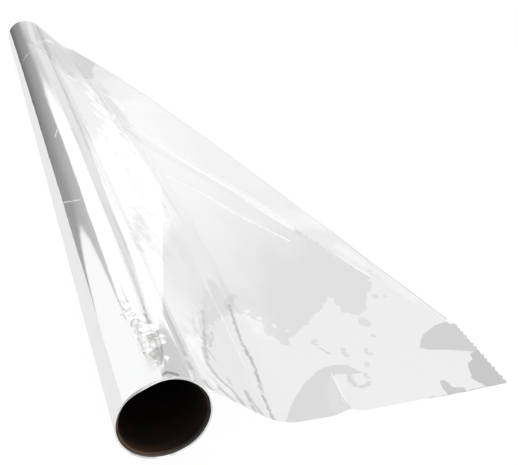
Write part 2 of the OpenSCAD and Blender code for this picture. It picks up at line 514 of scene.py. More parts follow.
# %% [markdown]
# The cut edge and the fold. The blade leaves a row of small teeth. Past the first
# 50 mm, the sheet is turned back over itself on a line that runs in to the roll.


# %% Cut edge and fold
def cut_x(y):
    return REACH + SKEW * y


def fold_x(y):
    u = (y - OPEN_CUT) / (FILM_W - OPEN_CUT)
    near = cut_x(OPEN_CUT) - EDGE_STRIP - FOLD_ARC
    return near + (FOLD_FAR - LAYER_STEP / 2 - near) * ((1 - FOLD_BOW) * u + FOLD_BOW * u**3)


def turn_x(y):
    return np.where(y <= OPEN_CUT, cut_x(y) - EDGE_STRIP - FOLD_ARC, fold_x(y))


def curl(y):
    return smooth((y - OPEN_CUT) / CURL_LEN)


def flap_length(y):
    wide = EDGE_STRIP + FLAP_SPREAD * np.maximum(0, y - OPEN_CUT - CURL_LEN)
    return np.minimum(wide, way_to(y, turn_x(y)) + FLAP_WRAP)


def tooth(y):
    """Teeth of the blade: a sharp point, then a hollow, with each one a little different."""
    phase = np.mod(y / TOOTH_PITCH, 1.0)
    number = np.floor(y / TOOTH_PITCH)
    size = 0.8 + 0.2 * np.sin(number * 2.4)
    return TOOTH_DEPTH * size * (1 - np.abs(2 * phase - 1)) ** 0.8


fold_ends = [round(float(fold_x(end)), 1) for end in (OPEN_CUT, FILM_W)]
print("fold runs from", fold_ends[0], "to", fold_ends[1], "mm out")

# %% [markdown]
# Creases. A crease in film is a sharp fold that was pressed flat again: a low, narrow
# ridge with straight flanks. Each is a polyline on the table, with its height and the
# width of its flanks. The ripples between them are gentle and have no direction, and
# they are what breaks the mirrored cards into patches.

# %% Relief of the film
FINE_H = 0.10
PULLED_H = 0.20
CRINKLE_H = 0.12
# points in millimetres, height of the ridge, width of its flanks
CREASES = [
    (
        [(46, -1), (46.3, 5.5), (48.6, 23.1), (52, 41.2), (52, 57.2), (54.2, 75.3),
         (57.3, 95.4)],
        0.34, 1.5,
    ),
    (
        [(36.8, -1), (30, 8.8), (25.5, 13.7), (24, 22.5), (26.4, 34.1), (33.5, 63.2),
         (38.1, 80.3)],
        0.34, 1.6,
    ),
    ([(39.1, -1), (38.6, 13.7), (43, 30)], 0.22, 1.1),
    ([(27.7, 0), (24.6, 3.8), (21, 12)], 0.26, 1.2),
    ([(19.3, 0.5), (17.8, 3.8), (17, 12)], 0.18, 1.0),
    ([(115.9, 152.2), (99.7, 190.7), (84, 242.3), (61.8, 291.8)], 0.20, 1.6),
    ([(84.1, 24), (82, 8), (80.6, -2)], 0.5, 2.2),
    ([(90, 14), (110, 22), (132, 24), (150, 22)], 0.10, 2.2),
    ([(70, 62), (88, 52), (104, 36), (112, 20)], 0.07, 2.4),
    ([(120, 60), (136, 44), (150, 40)], 0.09, 2.0),
]


def distance_to(points, x, y):
    """Least distance of each (x, y) from a polyline, and the share of its length there."""
    best = np.full(np.shape(x), 1e9)
    share = np.zeros(np.shape(x))
    for k, ((x0, y0), (x1, y1)) in enumerate(zip(points[:-1], points[1:])):
        dx, dy = x1 - x0, y1 - y0
        t = np.clip(((x - x0) * dx + (y - y0) * dy) / (dx * dx + dy * dy), 0, 1)
        d = np.hypot(x - x0 - t * dx, y - y0 - t * dy)
        share = np.where(d < best, (k + t) / (len(points) - 1), share)
        best = np.minimum(best, d)
    return best, share


def waves(x, y, count, longest, shortest, seed):
    """A sum of plane waves with chosen lengths and seeded directions, about -1 to 1."""
    draw = np.random.default_rng(seed)
    total = 0 * x
    weight = 0.0
    for k in range(count):
        length = longest * (shortest / longest) ** (k / max(1, count - 1))
        heading, phase = draw.uniform(0, 2 * math.pi, 2)
        size = length / longest
        across = np.cos(heading) * x + np.sin(heading) * y
        total = total + size * np.sin(2 * math.pi * across / length + phase)
        weight += size
    return total / weight * 1.6


def relief(x, y):
    """Height of the film over its plain line, in millimetres."""
    deg = math.pi / 180
    # broad ripples and the ruck at the near edge, as in the solid model
    rest = smooth((x - OUTER_R) / 25)
    rows = (1 + np.sin((5.2 * x + 1.9 * y) * deg) * np.cos((3.1 * y - 2.3 * x) * deg)) / 2
    ruck = RUCK_H * np.exp(-(((x - RUCK_X - 0.15 * y) / 5) ** 2) - y / 16)
    calm = 1 - 0.75 * smooth((y - 120) / 140)
    height = rest * RIPPLE_H * rows * calm + ruck
    # finer waves without a direction
    height = height + rest * FINE_H * (0.4 + 0.6 * calm) * waves(x, y, 9, 70.0, 16.0, 11)
    # crinkles where the sheet is pulled off the roll, at about half of its length
    pulled = np.exp(-(((y - 345.0) / 95) ** 2)) * np.exp(-(((x - 42.0) / 18) ** 2))
    height = height + pulled * PULLED_H * waves(0.8 * x, 0.35 * y, 9, 12.0, 4.0, 21)
    # crinkles by the near edge, and last the creases
    near = smooth((90.0 - y) / 60)
    near = near * smooth((x - 14) / 10)
    height = height + near * CRINKLE_H * waves(x, y, 8, 16.0, 7.0, 4)
    for points, ridge, width in CREASES:
        d, share = distance_to(points, x, y)
        fade = np.clip(4 * np.minimum(share, 1 - share) + 0.35, 0, 1)
        height = height + ridge * fade * np.exp(-d / width) * smooth((x - OUTER_R + 4) / 8)
    return height


def inside_by(outline, x, y):
    """How far each (x, y) is inside a closed outline, in millimetres; negative outside."""
    ring = outline + outline[:1]
    best, _ = distance_to(ring, x, y)
    inside = np.zeros(np.shape(x), dtype=bool)
    for (x0, y0), (x1, y1) in zip(ring[:-1], ring[1:]):
        if y0 == y1:
            continue
        spans = (y0 > y) != (y1 > y)
        inside ^= spans & (x < x0 + (y - y0) * (x1 - x0) / (y1 - y0))
    return np.where(inside, best, -best)


OUTLINES = {
    "painted_light": [
        (11, -30), (12.4, 6), (16.9, 30), (21.6, 41), (28.8, 42), (33.7, 55.5), (39.9, 68.2),
        (45.3, 77), (53.9, 83.6), (64.9, 87.5), (66.4, 76), (68, 62), (73, 51), (84, 61),
        (100, 73), (112, 85), (114, 69.5), (119, 62), (129, 74), (139, 86), (143, 96), (152, 122),
        (200, 200), (200, -30),
    ],
    "dome": [
        (49, -9), (52, 1), (59, 11), (69, 21.5), (80, 28.5), (88, 29.5), (94, 27.5), (99, 19.5),
        (92, 21.5), (86, 22.5), (84, 21), (82, 10), (81.4, -9),
    ],
    "dark": [
        (134.5, 27.5), (138, 33), (143, 37.5), (152, 41), (160, 42), (170, 39), (172, 15),
        (158.5, 14.5), (150, 19), (142, 22.5), (137, 24.5),
    ],
    "darkest": [
        (146.5, 3), (149, 8), (153, 10.5), (154.5, 14), (160, 16.5), (175, 10), (170, -20),
        (152, -18), (146, -7), (144.5, -1),
    ],
    "small_dark": [
        (127.5, -2.5), (129.5, 2), (132, 1.8), (132.5, -4), (137.5, -5.5), (137, -8.5), (128, -9),
    ],
    "far_grey": [
        (-25, 720), (60, 720), (75, 640), (61, 601), (58, 568), (47, 540), (24.7, 490),
        (11.8, 531), (2.3, 560), (-25, 560),
    ],
}
print("creases:", len(CREASES))

# %% [markdown]
# The clear film. Each surface of a film lets most light through and mirrors some, more
# at a low angle. A glass shader would bend the light, which film does not. So the
# material mixes a clear part and a mirror part. The mirror's share is small head on and
# grows with a power of how far the surface faces away from the eye.
# Where the film's tone is lighter in patches, it is painted light, and where it is darker in
# patches, it is painted shade: both stand in for what the film mirrors there. The large
# patches have outlines, which the sheet stores at its points, and the small ones are soft
# ellipses in the sheet's own place.

# %% Patch masks as one node group
patch, given, result = new_mask_group(
    "soft_ellipse_patch", ("Place", "Centre", "Spread"), ("Turn", "Wobble", "Softness")
)
noise = add_noise(patch, given["Place"], 120.0, 2.5)
shift = vectors(patch, "SUBTRACT", i0=noise.outputs["Color"], i1=HALVES)
shift = vectors(patch, "SCALE", i0=shift, Scale=given["Wobble"])
moved = vectors(patch, "ADD", i0=given["Place"], i1=shift)
moved = vectors(patch, "SUBTRACT", i0=moved, i1=given["Centre"])
flat_place = vectors(patch, "MULTIPLY", i0=moved, i1=FLAT)
about_z = {"rotation_type": "Z_AXIS"}
turned_place = add_node(
    patch, "ShaderNodeVectorRotate", about_z, Vector=flat_place, Angle=given["Turn"]
)
scaled = vectors(patch, "DIVIDE", i0=turned_place.outputs[0], i1=given["Spread"])
reach = vectors(patch, "LENGTH", "Value", i0=scaled)
past = sums(patch, "SUBTRACT", reach, one_less(patch, given["Softness"]))
share = sums(patch, "DIVIDE", past, given["Softness"])
clamped = add_node(patch, "ShaderNodeClamp", Value=one_less(patch, share))
patch.links.new(clamped.outputs[0], result.inputs["Mask"])
print("patch group ready")

# %% [markdown]
# A sharp crease or the edge of a lap is a thin line, thinner than the mesh is fine. So a
# second group draws a straight piece of line between two points, and a crease is a
# chain of such pieces. Its place is shaken a little, so that no line is quite straight.

# %% Crease lines as one node group
FULL_PART = 0.4
line_group, given, result = new_mask_group("crease_line", ("Place", "From", "To"), ("Width",))
away = vectors(line_group, "SUBTRACT", i0=given["Place"], i1=given["From"])
away = vectors(line_group, "MULTIPLY", i0=away, i1=FLAT)
along = vectors(line_group, "SUBTRACT", i0=given["To"], i1=given["From"])
reach = vectors(line_group, "DOT_PRODUCT", "Value", i0=away, i1=along)
whole = vectors(line_group, "DOT_PRODUCT", "Value", i0=along, i1=along)
share = add_node(line_group, "ShaderNodeClamp", Value=sums(line_group, "DIVIDE", reach, whole))
nearest = vectors(line_group, "SCALE", i0=along, Scale=share.outputs[0])
offset = vectors(line_group, "SUBTRACT", i0=away, i1=nearest)
distance = vectors(line_group, "LENGTH", "Value", i0=offset)
inner = product(line_group, given["Width"], FULL_PART)
beside = sums(line_group, "SUBTRACT", distance, inner)
over = sums(line_group, "DIVIDE", beside, given["Width"])
drawn = add_node(line_group, "ShaderNodeClamp", Value=one_less(line_group, over))
line_group.links.new(drawn.outputs[0], result.inputs["Mask"])


def draw_lines(tree, place, lines):
    """Mask of all of the lines; each is a chain of points, a width and a strength."""
    masks = []
    for points, width, strength in lines:
        for (x0, y0), (x1, y1) in zip(points[:-1], points[1:]):
            node = tree.nodes.new("ShaderNodeGroup")
            node.node_tree = line_group
            tree.links.new(place, node.inputs["Place"])
            node.inputs["From"].default_value = (x0 * MM, y0 * MM, 0.0)
            node.inputs["To"].default_value = (x1 * MM, y1 * MM, 0.0)
            node.inputs["Width"].default_value = width * MM
            masks.append(product(tree, node.outputs["Mask"], strength))
    patchy = add_noise(tree, place, 230.0, 2.0).outputs["Fac"]
    return product(tree, highest(tree, *masks), ramp_up(tree, patchy, 0.12, 0.56))


def shaken(tree, place, amount, fineness):
    """The place moved a little by noise, amount in millimetres."""
    noise = add_noise(tree, place, fineness, 2.0)
    shift = vectors(tree, "SUBTRACT", i0=noise.outputs["Color"], i1=HALVES)
    return vectors(tree, "ADD", i0=place, i1=vectors(tree, "SCALE", i0=shift, Scale=amount * MM))


print("line group ready")


# %% Helpers for the film's patches
def put_patch(tree, place, x, y, rx, ry, turn_deg=0.0, wobble=6.0, softness=0.05):
    """One patch on the table, sizes in millimetres; its mask."""
    node = tree.nodes.new("ShaderNodeGroup")
    node.node_tree = patch
    tree.links.new(place, node.inputs["Place"])
    node.inputs["Centre"].default_value = (x * MM, y * MM, 0.0)
    node.inputs["Spread"].default_value = (rx * MM, ry * MM, 1.0)
    node.inputs["Turn"].default_value = math.radians(turn_deg)
    node.inputs["Wobble"].default_value = wobble * MM
    node.inputs["Softness"].default_value = softness
    return node.outputs["Mask"]


def stored(tree, name):
    """What the sheet stores at its points under this name."""
    return add_node(tree, "ShaderNodeAttribute", {"attribute_name": name}).outputs["Fac"]


def within(tree, name, rough_edge, rough, softness):
    """1 inside a stored outline and 0 outside it, with a rough edge; sizes in millimetres."""
    push = product(tree, sums(tree, "SUBTRACT", rough_edge, 0.5), rough)
    return ramp_up(tree, sums(tree, "ADD", stored(tree, name), push), -softness, softness)


def half_of(tree, place, x0, y0, x1, y1, softness):
    """1 on the left of the line from (x0, y0) to (x1, y1), in millimetres; 0 on its right."""
    length = math.hypot(x1 - x0, y1 - y0)
    side = (-(y1 - y0) / length, (x1 - x0) / length, 0.0)
    reached = vectors(tree, "DOT_PRODUCT", "Value", i0=place, i1=side)
    away = sums(tree, "SUBTRACT", reached, (side[0] * x0 + side[1] * y0) * MM)
    return ramp_up(tree, away, -softness * MM, softness * MM)


def toned(tree, mask, value, new):
    """The tone so far, turned into a new one where the mask is 1."""
    return between(tree, mask, 0.0, 1.0, value, new)


print("patch helpers ready")

# %% Film sheet material, its tones
FREE_TONE, FAR_TONE = 0.775, 0.875
FLAP_SIDE_TONE = 0.97
BRIGHT_TONE = 0.99
SOFT_PATCH_TONE = 0.86
PAINTED_LIGHT_TONE = 0.89
GREY_SIDE_TONE = 0.80
UPPER_NEAR_TONE, UPPER_FAR_TONE = 0.99, 0.89
FAR_GREY_TONE = 0.83
OVER_ROLL_TONE = 0.90
# outline, then roughness and softness of its edge in millimetres, and the tone inside it
# these darker patches are painted shade
DARK_PATCHES = [
    ("dome", 2.0, 0.4, 0.73),
    ("dark", 2.0, 0.4, 0.66),
    ("darkest", 2.5, 0.4, 0.59),
    ("small_dark", 1.5, 0.3, 0.63),
]
# gaps in the patch of painted light and small spots of painted light beside it: centre and half
# widths
PAINTED_LIGHT_GAPS = [
    (87.4, 49.1, 2.2, 3.0),
    (97.8, 36.6, 2.2, 4.2),
    (108.3, 32.7, 2.0, 3.8),
    (103.0, 24.7, 1.7, 2.0),
    (118.5, 56.0, 3.0, 5.0),
    (121.0, 66.0, 1.6, 2.0),
    (117.0, 44.0, 1.3, 1.6),
    (135.5, 76.0, 2.0, 3.0),
    (141.0, 74.0, 1.0, 1.4),
    (131.0, 84.0, 2.4, 3.2),
]
PAINTED_LIGHT_SPOTS = [
    (68.5, 78.3, 1.6, 2.2),
    (73.2, 69.1, 1.6, 2.2),
    (78.0, 63.0, 1.0, 1.4),
    (99.2, 36.0, 1.1, 2.4),
    (109.3, 33.0, 0.9, 1.8),
    (88.2, 48.4, 0.9, 1.2),
]
film, tree = new_material("clear_film_sheet")
tree.nodes.clear()
place = add_node(tree, "ShaderNodeTexCoord").outputs["Object"]
across_sheet, along_sheet, _ = split(tree, place)
rough_edge = add_noise(tree, place, 140.0, 4.0, Roughness=0.6).outputs["Fac"]
# painted light: a patch where the film's tone is lighter, with gaps and small spots
painted_light_spots = highest(tree, *[put_patch(tree, place, *d, wobble=1.5, softness=0.2) for d in PAINTED_LIGHT_SPOTS])
painted_light_gaps = highest(tree, *[put_patch(tree, place, *h, wobble=2.8, softness=0.2) for h in PAINTED_LIGHT_GAPS])
painted_light_mask = product(tree, within(tree, "painted_light", rough_edge, 13.0, 0.35), one_less(tree, painted_light_gaps))
painted_light_mask = highest(tree, painted_light_mask, painted_light_spots)
far_share = ramp_up(tree, along_sheet, 0.09, 0.27)
value = toned(tree, far_share, FREE_TONE, FAR_TONE)
flap_side = one_less(tree, half_of(tree, place, 142.0, 94.0, 73.0, 358.0, 2.0))
value = toned(tree, flap_side, value, FLAP_SIDE_TONE)
# a painted highlight on the sheet beside the roll
bright_side = product(
    tree,
    half_of(tree, place, 13.4, 55.0, 61.0, 265.0, 0.6),
    half_of(tree, place, 61.0, 265.0, 63.0, 700.0, 8.0),
)
value = toned(tree, bright_side, value, BRIGHT_TONE)
soft_patch = put_patch(
    tree, place, 22.5, 142.0, 5.5, 52.0, turn_deg=8.0, wobble=3.0, softness=0.5
)
value = toned(tree, soft_patch, value, SOFT_PATCH_TONE)
value = toned(tree, painted_light_mask, value, PAINTED_LIGHT_TONE)
grey_side = put_patch(
    tree, place, 40.0, 128.0, 17.0, 85.0, turn_deg=14.0, wobble=3.0, softness=0.6
)
grey_side = product(tree, grey_side, one_less(tree, bright_side))
free_grey_side = product(tree, grey_side, one_less(tree, painted_light_mask))
value = toned(tree, free_grey_side, value, GREY_SIDE_TONE)
for name, rough, softness, dark_tone in DARK_PATCHES:
    mask = within(tree, name, rough_edge, rough, softness)
    value = toned(tree, mask, value, dark_tone)
# the flap's own tone multiplies that of the sheet under it, so it is lighter
upper_tone = toned(tree, far_share, UPPER_NEAR_TONE, UPPER_FAR_TONE)
value = toned(tree, stored(tree, "upper"), value, upper_tone)
value = toned(tree, within(tree, "far_grey", rough_edge, 6.0, 1.0), value, FAR_GREY_TONE)
over_roll = product(tree, ramp_up(tree, across_sheet, 0.017, 0.011), far_share)
value = toned(tree, over_roll, value, OVER_ROLL_TONE)
print("film tones ready")

# %% [markdown]
# Creases show as thin lines of painted shade and of painted highlight, the flap's rim as two
# lines of painted highlight with a gap between them, and the fold's line as painted shade.
# The mirror part comes last. It is quieter at the far end, on the grey side and where the
# film leaves the roll by the mouth, and it is off in the painted highlights.

# %% Film sheet material, its lines and its mirror part
DARK_LINE_TONE = 0.42
LIGHT_LINE_TONE = 1.0
FOLD_LINE_TONE, FOLD_LINE_STRENGTH = 0.55, 0.7
HEAD_ON_SHARE, GRAZING_SHARE, GRAZING_POWER = 0.08, 0.92, 4.0
QUIET_FAR, QUIET_GREY_SIDE, QUIET_LEAVING = 0.5, 0.75, 0.8
# points in millimetres, width, strength
# lines of painted shade along creases and edges
DARK_LINES = [
    (
        [(46.2, -1), (46.3, 5.5), (48.6, 23.1), (52, 41.2), (52, 57.2), (54.2, 75.3),
         (57.3, 95.4)],
        0.8, 0.75,
    ),
    ([(51.2, 52), (52, 44), (50.8, 36), (49.6, 28)], 0.9, 0.8),
    ([(33, 2), (30, 8.8), (25.5, 13.7), (24, 22.5), (26.4, 34.1), (31, 52)], 1.2, 0.75),
    ([(38, 0.5), (37.8, 6), (38.6, 13.7)], 1.2, 0.75),
    ([(28.4, 0.2), (26, 2.6), (24.2, 4.6)], 1.5, 0.75),
    ([(19.8, 0.6), (18.4, 2.6), (17.6, 4.2)], 1.1, 0.8),
    ([(41.5, -0.5), (39.6, 5), (38.8, 10)], 1.3, 0.6),
    ([(29.7, 29), (28.6, 33), (27.4, 38)], 0.6, 0.6),
    ([(31.8, 14), (31.6, 17)], 0.6, 0.6),
    ([(29, 44), (30.5, 52), (32.5, 60), (36, 74)], 1.9, 0.42),
    ([(30.5, 40), (33.5, 48), (36.5, 56)], 0.8, 0.4),
    ([(26.5, 47), (27.5, 56), (30, 66)], 0.8, 0.35),
    ([(56.5, 92), (58, 98), (62, 103)], 2.4, 0.3),
    ([(88, 44), (90, 38)], 0.5, 0.5),
    ([(118, -6.4), (134, -7.9), (150, -9.4)], 0.4, 0.8),
    ([(142, 94), (133.3, 129.4), (124, 162)], 0.5, 0.45),
    ([(92.3, 20.5), (90.6, 17), (91.4, 13)], 1.5, 0.35),
    ([(93.6, 11.4), (96.6, 11), (98, 12.6)], 1.1, 0.4),
    ([(98.8, 18), (99.4, 15)], 1.0, 0.3),
    ([(13.6, 455), (13.2, 400), (14.2, 340), (17, 285)], 0.7, 0.3),
    ([(17.5, 455), (17.5, 390), (19, 330)], 0.7, 0.3),
    ([(24, 480), (30, 440), (44, 400), (58, 380)], 0.9, 0.25),
    ([(26, 455), (38, 425), (52, 405)], 0.7, 0.3),
    ([(42, 342), (46, 337), (51, 332)], 0.7, 0.35),
]
# lines of painted highlight
LIGHT_LINES = [
    ([(115.9, 152.2), (99.7, 190.7), (84, 242.3), (66, 284)], 0.7, 1.0),
    ([(20, 33), (24, 40), (27, 44)], 0.7, 0.9),
    ([(84.2, 24), (82.8, 12), (81.6, 1)], 0.35, 0.7),
    ([(124, 165), (105.5, 237.7), (88.6, 299.9), (73.8, 359.2), (53, 434)], 1.1, 1.0),
    ([(120, 200), (109.5, 237.7), (93, 299.9), (79, 359.2)], 0.8, 0.9),
    ([(24, 489), (33.6, 500), (44.2, 502.6), (53.3, 508), (62, 490), (68.1, 451.6)], 1.8, 1.0),
    ([(18, 27), (23, 36), (25.5, 36)], 0.6, 0.8),
    ([(0, 563), (27.6, 660.5)], 2.0, 0.9),
    ([(155, 64), (150, 93), (146, 113), (141, 134)], 3.0, 0.55),
]
line_place = shaken(tree, place, 2.4, 330.0)
farther = sums(tree, "MULTIPLY_ADD", along_sheet, 3.0, 0.5)
flap_rim = sums(tree, "DIVIDE", stored(tree, "rim"), highest(tree, farther, 1.0))
first_light = ramp_up(tree, flap_rim, 2.2, 1.4)
second_light = product(tree, ramp_up(tree, flap_rim, 3.6, 4.4), ramp_up(tree, flap_rim, 7.0, 6.0))
far_enough = ramp_up(tree, along_sheet, 0.15, 0.19)
rim_light = product(tree, highest(tree, first_light, second_light), far_enough)
lights = highest(tree, rim_light, draw_lines(tree, line_place, LIGHT_LINES))
value = toned(tree, lights, value, LIGHT_LINE_TONE)
value = toned(tree, draw_lines(tree, line_place, DARK_LINES), value, DARK_LINE_TONE)
# painted shade along the fold's line
near_half = product(tree, ramp_up(tree, along_sheet, 0.20, 0.12), FOLD_LINE_STRENGTH)
fold_line = product(tree, ramp_up(tree, stored(tree, "fold_gap"), 0.55, 0.25), near_half)
value = toned(tree, fold_line, value, FOLD_LINE_TONE)
clear_colour = add_node(tree, "ShaderNodeCombineColor", Red=value, Green=value, Blue=value)
clear_part = add_node(tree, "ShaderNodeBsdfTransparent", Color=clear_colour.outputs[0])
fine = add_noise(tree, place, 70.0, 2.0).outputs["Fac"]
bump = add_node(tree, "ShaderNodeBump", Height=fine, Strength=0.12, Distance=0.001).outputs[0]
mirror_part = add_node(tree, "ShaderNodeBsdfGlossy", Color=WHITE, Roughness=0.03, Normal=bump)
facing = add_node(tree, "ShaderNodeLayerWeight", Blend=0.5, Normal=bump).outputs["Facing"]
grazing = sums(tree, "POWER", facing, GRAZING_POWER)
mirrored = sums(tree, "MULTIPLY_ADD", grazing, GRAZING_SHARE, HEAD_ON_SHARE)
by_mouth = product(
    tree, ramp_up(tree, across_sheet, 0.0156, 0.0144), ramp_up(tree, along_sheet, 0.11, 0.08)
)
quiet = highest(
    tree,
    product(tree, ramp_up(tree, along_sheet, 0.50, 0.57), QUIET_FAR),
    product(tree, grey_side, QUIET_GREY_SIDE),
    product(tree, by_mouth, QUIET_LEAVING),
)
mirrored = product(tree, mirrored, one_less(tree, quiet), one_less(tree, lights))
film_shader = add_node(
    tree, "ShaderNodeMixShader", i0=mirrored, i1=clear_part.outputs[0], i2=mirror_part.outputs[0]
)
add_node(tree, "ShaderNodeOutputMaterial", Surface=film_shader.outputs[0])
print("film material ready")

# %% [markdown]
# The loose sheet, as one open surface. Its rows are close together along the teeth and
# wider apart after them. Each row runs from the roll to the fold, round the fold and
# back along the flap, so the flap is the same film and needs no joint. Its points store
# what the material reads: how far each is inside each outline, which layer it is in, and
# how far it is from the flap's rim and from the fold's line, all in millimetres.

# %% Loose sheet
TOOTH_ROWS = 6
ON_ROLL = 1.5
LEAST_TURN = 1e-4
PRESSED = 0.8
rows_y = np.concatenate(
    [np.arange(0, 110, TOOTH_PITCH / TOOTH_ROWS), np.linspace(110.4, FILM_W, 225)]
)
SHEET_COLUMNS = 150
FOLD_COLUMNS = 10
FLAP_COLUMNS = 46


def sheet_points(rows_y):
    """Points of the whole sheet, rows x columns x 3."""
    y = rows_y[:, None]
    turn_way = way_to(y, turn_x(y))
    s = -ON_ROLL + (turn_way + ON_ROLL) * np.linspace(0, 1, SHEET_COLUMNS)[None, :]
    x, z, _, _ = sheet_line(y, s)
    a = math.pi * curl(y)
    safe = np.maximum(a, 1e-6)
    r = FOLD_ARC / safe
    end_x, end_z, _, _ = sheet_line(y, turn_way)
    b = a * np.linspace(0, 1, FOLD_COLUMNS + 1)[None, 1:]
    straight = FOLD_ARC * np.linspace(0, 1, FOLD_COLUMNS + 1)[None, 1:]
    arc_x = end_x + np.where(a > LEAST_TURN, r * np.sin(b), straight)
    arc_z = end_z + np.where(a > LEAST_TURN, r * (1 - np.cos(b)), 0 * b)
    tip_x, tip_z = arc_x[:, -1:], arc_z[:, -1:]
    d = flap_length(y) * np.linspace(0, 1, FLAP_COLUMNS + 1)[None, 1:]
    px, pz, nx, nz = sheet_line(y, turn_way - d)
    whole = curl(y) >= 1
    gap = LAYER_STEP - PRESSED * smooth((8 - (turn_way - d)) / 20)
    flap_x = np.where(whole, px + gap * nx, tip_x + d * np.cos(a))
    flap_z = np.where(whole, pz + gap * nz, tip_z + d * np.sin(a))
    edge = np.where(y < OPEN_CUT, tooth(y), 0.0)
    flap_x[:, -1:] += edge
    x = np.concatenate([x, arc_x, flap_x], axis=1)
    z = np.concatenate([z, arc_z, flap_z], axis=1)
    y_real = y - SKEW * np.maximum(0, x - landing_x(y))
    z = z + relief(x, y_real)
    return np.stack([x, y_real, z], axis=-1)


points = sheet_points(rows_y)
loose_sheet = grid_piece("loose_sheet", points, film, turned_over=True)
FAR_OFF = 60.0
place_x, place_y = points[..., 0], points[..., 1]
fields = {name: inside_by(line, place_x, place_y) for name, line in OUTLINES.items()}
folded = rows_y > OPEN_CUT
for name in OUTLINES:
    if name != "far_grey":
        fields[name][folded, SHEET_COLUMNS:] = -FAR_OFF
fields["upper"] = np.zeros(points.shape[:2])
fields["upper"][folded, SHEET_COLUMNS:] = 1.0
fields["rim"] = np.full(points.shape[:2], FAR_OFF)
flap_share = np.linspace(0, 1, FLAP_COLUMNS + 1)[None, 1:]
fields["rim"][:, -FLAP_COLUMNS:] = flap_length(rows_y[:, None]) * (1 - flap_share)
fields["fold_gap"] = np.full(points.shape[:2], FAR_OFF)
half_turns = np.linspace(0, 1, FOLD_COLUMNS + 1)[None, 1:]
fold_columns = slice(SHEET_COLUMNS, SHEET_COLUMNS + FOLD_COLUMNS)
fields["fold_gap"][:, fold_columns] = FOLD_ARC * np.abs(half_turns - 0.5)
fields["fold_gap"][rows_y < OPEN_CUT + 3] = FAR_OFF
for name, values in fields.items():
    attribute = loose_sheet.data.attributes.new(name, "FLOAT", "POINT")
    values = np.clip(values, -FAR_OFF, FAR_OFF).astype(np.float32)
    attribute.data.foreach_set("value", values.ravel())
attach(loose_sheet, "root")

# %% [markdown]
# The wound turns. Some twenty turns of film lie on the tube. Together they look like
# silver, because each face mirrors a little and there are forty of them. So they are
# one closed body, mostly mirror. Its surface has long shallow hollows, since film is
# never wound at quite the same pull, and its ends show the edges of the turns, which
# stand out a little at the top left of the mouth. The crumple near the mouth is real
# relief, and its grey and dark squiggles are painted shade and its glints painted
# highlight; thin matt lines are the edges of laps. A grey streak and a long grey line
# are painted reflection on the mirror, and a matt white strip beside the mouth, where
# the sheet lies over the roll, is painted light.

# %% Wound film material
SILVERS = (0.93, 0.935, 0.94, 1.0), (0.97, 0.97, 0.975, 1.0)
REFLECTION_STREAK_GREY = (0.66, 0.66, 0.665, 1.0)
REFLECTION_LINE_GREY = (0.55, 0.55, 0.555, 1.0)
CRUMPLE_SHADE_GREY = (0.72, 0.72, 0.70, 1.0)
SQUIGGLE_SHADE_GREY = (0.42, 0.41, 0.39, 1.0)
MATT_PAINTED_WHITE = (0.98, 0.98, 0.975, 1.0)
METALLIC, MATT_METALLIC = 0.93, 0.1
# points in millimetres round and along the roll, width, strength
# dark squiggles of painted shade on the crumple; the glints below are painted highlights
SQUIGGLES = [
    ([(4.9, 60), (4.4, 52.7), (3.9, 45.3), (3.3, 38.6), (1.1, 40.1), (-0.2, 42.3)], 0.6, 0.5),
    ([(-0.2, 42.3), (-1.5, 44), (-2.9, 42.6), (-3.7, 39.6)], 0.45, 0.7),
    ([(-4.4, 60.6), (-3.4, 58.3), (-3.5, 56.4), (-2.5, 54.6)], 0.4, 0.5),
    ([(-5.3, 53.3), (-4.2, 52.6), (-3.4, 50.2), (-2.7, 50.4)], 0.4, 0.55),
    ([(-6.2, 50.4), (-5.1, 48.2), (-4.9, 45.6)], 0.4, 0.45),
    ([(-2.1, 33.4), (-2.6, 29), (-2.3, 24.5), (-2.9, 20), (-2.5, 16.2)], 0.5, 0.4),
    ([(-2.1, 33.4), (0.4, 31.6), (2.1, 33.2), (4.6, 32), (6.2, 32.6)], 0.4, 0.6),
    ([(6.2, 32.6), (5.6, 27), (5.2, 22.3), (3.6, 14), (1.6, 7.1)], 0.5, 0.55),
    ([(0.8, 30.1), (1.6, 26.4), (0.6, 22.9), (1.5, 19), (-0.6, 16.7), (0.9, 12.9)], 0.6, 0.5),
    ([(3, 29), (3.6, 24), (2.6, 19.5), (3.2, 15)], 0.5, 0.45),
    ([(1.4, 3), (3.1, 3.9), (4.9, 3.3), (6.9, 2.2)], 0.9, 0.9),
]
GLINTS = [
    ([(-11.6, 137), (-11, 133), (-11.7, 129)], 0.7, 0.9),
    ([(-0.6, 28), (-0.2, 24), (-1.2, 20)], 0.6, 0.8),
    ([(2.6, 31.5), (5.4, 30.6)], 0.5, 0.8),
    ([(-0.4, 10), (1.2, 5), (0.2, 3)], 0.7, 0.9),
]
LAPS = [
    ([(-16.6, 527.4), (-10.1, 537.4), (-2.1, 544.1)], 0.8, 0.7),
    ([(-5.3, 390.7), (1.9, 404.1), (8, 418)], 0.7, 0.8),
    ([(-8.6, 289.2), (-4.2, 306), (0.3, 319.5)], 0.6, 0.8),
    ([(-18.4, 189.6), (-12.6, 181.2), (-6.6, 175.2)], 0.5, 0.7),
]
# a long grey line of painted reflection
REFLECTION_LINE = [([(5.4, 300), (5.4, 170), (5, 60)], 1.2, 0.35)]
wound, tree = new_material("wound_film")
shader = tree.nodes["Principled BSDF"]
place = add_node(tree, "ShaderNodeTexCoord").outputs["Object"]
across, along_roll, up = split(tree, place)
round_roll = product(tree, sums(tree, "ARCTAN2", across, up), OUTER_R * MM)
unrolled = add_node(tree, "ShaderNodeCombineXYZ", X=round_roll, Y=along_roll).outputs[0]
rough_place = shaken(tree, unrolled, 1.3, 420.0)
